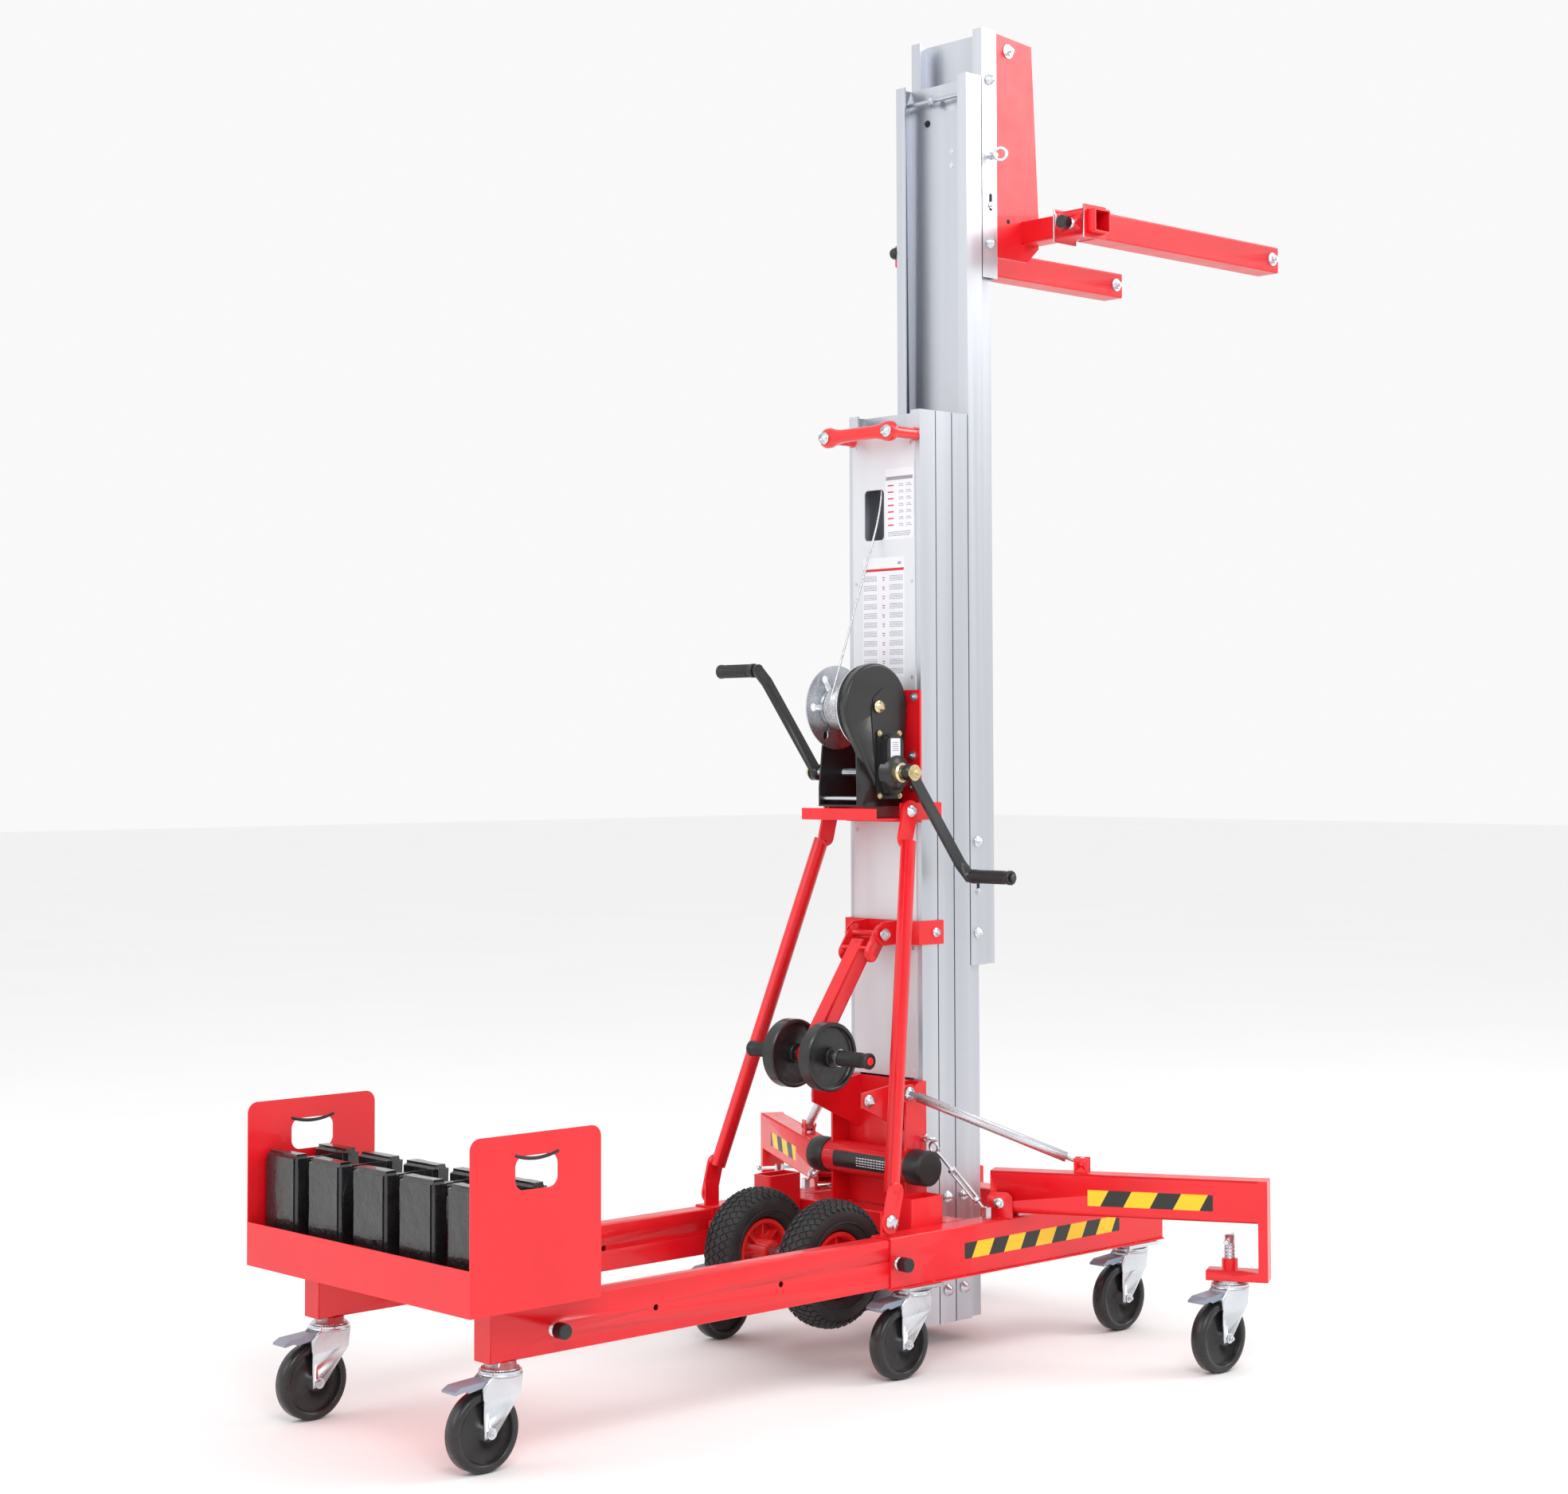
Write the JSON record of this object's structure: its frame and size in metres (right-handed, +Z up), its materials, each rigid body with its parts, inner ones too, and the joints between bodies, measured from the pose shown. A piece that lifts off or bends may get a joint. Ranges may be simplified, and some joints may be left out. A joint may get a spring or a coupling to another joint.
{
  "type": "material lift",
  "caption": "Counterbalanced hand-winch telescopic material lift: aluminium mast, forks, outriggers and a rear weight tray on casters.",
  "frame": {"origin": "on the floor, below the centre of the bounding box", "axes": "+X forwards along the forks, +Y to the left, +Z up"},
  "size_m": [2.5384, 1.5846, 2.99],
  "materials": {
    "aluminium_mast": "satin anodised",
    "black_cast": "gloss black paint",
    "black_plastic": "satin",
    "red_frame": "gloss powder coat",
    "red_plastic": "gloss",
    "steel_rope": "stranded wire",
    "tyre_rubber": "matte",
    "winch_black": "black powder coat",
    "zinc_hardware": "bright zinc plate"
  },
  "bodies": {
    "base": {"side_beams": "red_frame", "cross_beams": "red_frame", "wheel_axle": "red_frame", "caster_mounts": "zinc_hardware", "mast_socket": "red_frame", "bumper_tube": "red_frame", "mast_struts": "red_frame", "mast_section_1": "aluminium_mast", "mast_cover": "aluminium_mast", "top_handle": "red_frame", "winch_bracket": "red_frame", "winch_housing": "winch_black", "arm_bracket": "red_frame", "frame_fasteners": "zinc_hardware", "outrigger_brackets": "red_frame", "turnbuckles": "zinc_hardware", "lift_rope": "steel_rope"},
    "rear_extension": {"extension_beams": "red_frame", "tray": "red_frame"},
    "counterweight_set": {"counterweights": "black_cast"},
    "rear_caster_left": {"rear_caster_yoke_left": "zinc_hardware"},
    "rear_wheel_left": {"rear_caster_wheel_left": "black_plastic"},
    "middle_caster_left": {"middle_caster_yoke_left": "zinc_hardware"},
    "middle_wheel_left": {"middle_caster_wheel_left": "black_plastic"},
    "front_caster_left": {"front_caster_yoke_left": "zinc_hardware"},
    "front_wheel_left": {"front_caster_wheel_left": "black_plastic"},
    "outrigger_arm_left": {"outrigger_left": "red_frame"},
    "stay_left": {"stay_rod_left": "zinc_hardware"},
    "jack_left": {"jack_screw_left": "zinc_hardware"},
    "outrigger_caster_left": {"outrigger_caster_yoke_left": "zinc_hardware"},
    "outrigger_wheel_left": {"outrigger_caster_wheel_left": "black_plastic"},
    "pneumatic_wheel_left": {"tyre_left": "tyre_rubber", "rim_left": "red_plastic"},
    "fork_arm_left": {"fork_left": "red_frame"},
    "crank_handle_left": {"crank_grip_left": "black_plastic"},
    "rear_caster_right": {"rear_caster_yoke_right": "zinc_hardware"},
    "rear_wheel_right": {"rear_caster_wheel_right": "black_plastic"},
    "middle_caster_right": {"middle_caster_yoke_right": "zinc_hardware"},
    "middle_wheel_right": {"middle_caster_wheel_right": "black_plastic"},
    "front_caster_right": {"front_caster_yoke_right": "zinc_hardware"},
    "front_wheel_right": {"front_caster_wheel_right": "black_plastic"},
    "outrigger_arm_right": {"outrigger_right": "red_frame"},
    "stay_right": {"stay_rod_right": "zinc_hardware"},
    "jack_right": {"jack_screw_right": "zinc_hardware"},
    "outrigger_caster_right": {"outrigger_caster_yoke_right": "zinc_hardware"},
    "outrigger_wheel_right": {"outrigger_caster_wheel_right": "black_plastic"},
    "pneumatic_wheel_right": {"tyre_right": "tyre_rubber", "rim_right": "red_plastic"},
    "fork_arm_right": {"fork_right": "red_frame"},
    "crank_handle_right": {"crank_grip_right": "black_plastic"},
    "section_2": {"mast_section_2": "aluminium_mast"},
    "section_3": {"mast_section_3": "aluminium_mast"},
    "section_4": {"mast_section_4": "aluminium_mast"},
    "lift_carriage": {"carriage": "aluminium_mast", "fork_bracket": "red_frame", "fork_crossbar": "red_frame"},
    "drum": {"winch_drum": "zinc_hardware"},
    "crank_set": {"crank": "winch_black"},
    "loading_frame": {"loading_arm": "red_frame"},
    "rollers": {"loading_rollers": "black_plastic"}
  },
  "joints": [
    {"name": "extension_slide", "type": "slide", "parent": "base", "child": "rear_extension", "axis": [1, 0, 0], "range_m": [0, 0.66]},
    {"name": "counterweight_lift", "type": "slide", "parent": "rear_extension", "child": "counterweight_set", "axis": [0, 0, 1], "range_m": [0, 0.3]},
    {"name": "rear_swivel_left", "type": "hinge", "parent": "rear_extension", "child": "rear_caster_left", "pos_m": [-1.1338, 0.28, 0.15], "axis": [0, 0, 1], "continuous": true},
    {"name": "rear_wheel_spin_left", "type": "hinge", "parent": "rear_caster_left", "child": "rear_wheel_left", "pos_m": [-1.1758, 0.28, 0.075], "axis": [0, 1, 0], "continuous": true},
    {"name": "middle_swivel_left", "type": "hinge", "parent": "base", "child": "middle_caster_left", "pos_m": [-0.0438, 0.28, 0.15], "axis": [0, 0, 1], "continuous": true},
    {"name": "middle_wheel_spin_left", "type": "hinge", "parent": "middle_caster_left", "child": "middle_wheel_left", "pos_m": [-0.0858, 0.28, 0.075], "axis": [0, 1, 0], "continuous": true},
    {"name": "front_swivel_left", "type": "hinge", "parent": "base", "child": "front_caster_left", "pos_m": [0.6712, 0.28, 0.15], "axis": [0, 0, 1], "continuous": true},
    {"name": "front_wheel_spin_left", "type": "hinge", "parent": "front_caster_left", "child": "front_wheel_left", "pos_m": [0.6292, 0.28, 0.075], "axis": [0, 1, 0], "continuous": true},
    {"name": "outrigger_fold_left", "type": "hinge", "parent": "base", "child": "outrigger_arm_left", "pos_m": [0.2422, 0.276, 0.334], "axis": [0.866, -0.5, 0], "range_deg": [0, 80]},
    {"name": "stay_fold_left", "type": "hinge", "parent": "outrigger_arm_left", "child": "stay_left", "pos_m": [0.3312, 0.43015, 0.422], "axis": [0.866, -0.5, 0], "range_deg": [-144, 0]},
    {"name": "jack_travel_left", "type": "slide", "parent": "outrigger_arm_left", "child": "jack_left", "axis": [0, 0, 1], "range_m": [-0.036, 0]},
    {"name": "outrigger_swivel_left", "type": "hinge", "parent": "jack_left", "child": "outrigger_caster_left", "pos_m": [0.4902, 0.70555, 0.15], "axis": [0, 0, 1], "continuous": true},
    {"name": "outrigger_wheel_spin_left", "type": "hinge", "parent": "outrigger_caster_left", "child": "outrigger_wheel_left", "pos_m": [0.4482, 0.70555, 0.075], "axis": [0, 1, 0], "continuous": true},
    {"name": "pneumatic_spin_left", "type": "hinge", "parent": "base", "child": "pneumatic_wheel_left", "pos_m": [-0.1258, 0.116, 0.2235], "axis": [0, 1, 0], "continuous": true},
    {"name": "rear_swivel_right", "type": "hinge", "parent": "rear_extension", "child": "rear_caster_right", "pos_m": [-1.1338, -0.28, 0.15], "axis": [0, 0, 1], "continuous": true},
    {"name": "rear_wheel_spin_right", "type": "hinge", "parent": "rear_caster_right", "child": "rear_wheel_right", "pos_m": [-1.1758, -0.28, 0.075], "axis": [0, 1, 0], "continuous": true},
    {"name": "middle_swivel_right", "type": "hinge", "parent": "base", "child": "middle_caster_right", "pos_m": [-0.0438, -0.28, 0.15], "axis": [0, 0, 1], "continuous": true},
    {"name": "middle_wheel_spin_right", "type": "hinge", "parent": "middle_caster_right", "child": "middle_wheel_right", "pos_m": [-0.0858, -0.28, 0.075], "axis": [0, 1, 0], "continuous": true},
    {"name": "front_swivel_right", "type": "hinge", "parent": "base", "child": "front_caster_right", "pos_m": [0.6712, -0.28, 0.15], "axis": [0, 0, 1], "continuous": true},
    {"name": "front_wheel_spin_right", "type": "hinge", "parent": "front_caster_right", "child": "front_wheel_right", "pos_m": [0.6292, -0.28, 0.075], "axis": [0, 1, 0], "continuous": true},
    {"name": "outrigger_fold_right", "type": "hinge", "parent": "base", "child": "outrigger_arm_right", "pos_m": [0.2422, -0.276, 0.334], "axis": [-0.866, -0.5, 0], "range_deg": [0, 80]},
    {"name": "stay_fold_right", "type": "hinge", "parent": "outrigger_arm_right", "child": "stay_right", "pos_m": [0.3312, -0.43015, 0.422], "axis": [-0.866, -0.5, 0], "range_deg": [-144, 0]},
    {"name": "jack_travel_right", "type": "slide", "parent": "outrigger_arm_right", "child": "jack_right", "axis": [0, 0, 1], "range_m": [-0.036, 0]},
    {"name": "outrigger_swivel_right", "type": "hinge", "parent": "jack_right", "child": "outrigger_caster_right", "pos_m": [0.4902, -0.70555, 0.15], "axis": [0, 0, 1], "continuous": true},
    {"name": "outrigger_wheel_spin_right", "type": "hinge", "parent": "outrigger_caster_right", "child": "outrigger_wheel_right", "pos_m": [0.4482, -0.70555, 0.075], "axis": [0, 1, 0], "continuous": true},
    {"name": "pneumatic_spin_right", "type": "hinge", "parent": "base", "child": "pneumatic_wheel_right", "pos_m": [-0.1258, -0.116, 0.2235], "axis": [0, 1, 0], "continuous": true},
    {"name": "section_2_slide", "type": "slide", "parent": "base", "child": "section_2", "axis": [0, 0, 1], "range_m": [0, 1.69]},
    {"name": "section_3_slide", "type": "slide", "parent": "section_2", "child": "section_3", "axis": [0, 0, 1], "range_m": [0, 1.69]},
    {"name": "section_4_slide", "type": "slide", "parent": "section_3", "child": "section_4", "axis": [0, 0, 1], "range_m": [-0.789, 0.9]},
    {"name": "carriage_slide", "type": "slide", "parent": "section_4", "child": "lift_carriage", "axis": [0, 0, 1], "range_m": [-1.36, 0]},
    {"name": "fork_slide_left", "type": "slide", "parent": "lift_carriage", "child": "fork_arm_left", "axis": [0, 1, 0], "range_m": [-0.1, 0.02]},
    {"name": "fork_slide_right", "type": "slide", "parent": "lift_carriage", "child": "fork_arm_right", "axis": [0, -1, 0], "range_m": [-0.1, 0.02]},
    {"name": "drum_spin", "type": "hinge", "parent": "base", "child": "drum", "pos_m": [0.0572, 0, 1.417], "axis": [0, 1, 0], "range_deg": [-1158.6, 1005.9]},
    {"name": "crank_spin", "type": "hinge", "parent": "base", "child": "crank_set", "pos_m": [0.0922, 0, 1.271], "axis": [0, 1, 0], "range_deg": [-8801, 10138]},
    {"name": "grip_spin_left", "type": "hinge", "parent": "crank_set", "child": "crank_handle_left", "pos_m": [-0.05194, 0.24, 1.50167], "axis": [0, 1, 0], "continuous": true},
    {"name": "grip_spin_right", "type": "hinge", "parent": "crank_set", "child": "crank_handle_right", "pos_m": [0.23634, -0.24, 1.04033], "axis": [0, 1, 0], "continuous": true},
    {"name": "loading_arm_fold", "type": "hinge", "parent": "base", "child": "loading_frame", "pos_m": [0.1042, 0, 0.911], "axis": [0, 1, 0], "range_deg": [0, 55]},
    {"name": "roller_spin", "type": "hinge", "parent": "loading_frame", "child": "rollers", "pos_m": [-0.0758, 0, 0.655], "axis": [0, 1, 0], "continuous": true}
  ],
  "couplings": [
    {"joint": "drum_spin", "follows": "section_4_slide", "rad_per_m": -22.222},
    {"joint": "crank_spin", "follows": "section_4_slide", "rad_per_m": 194.44},
    {"joint": "stay_fold_left", "follows": "outrigger_fold_left", "ratio": -1.8},
    {"joint": "stay_fold_right", "follows": "outrigger_fold_right", "ratio": -1.8}
  ]
}
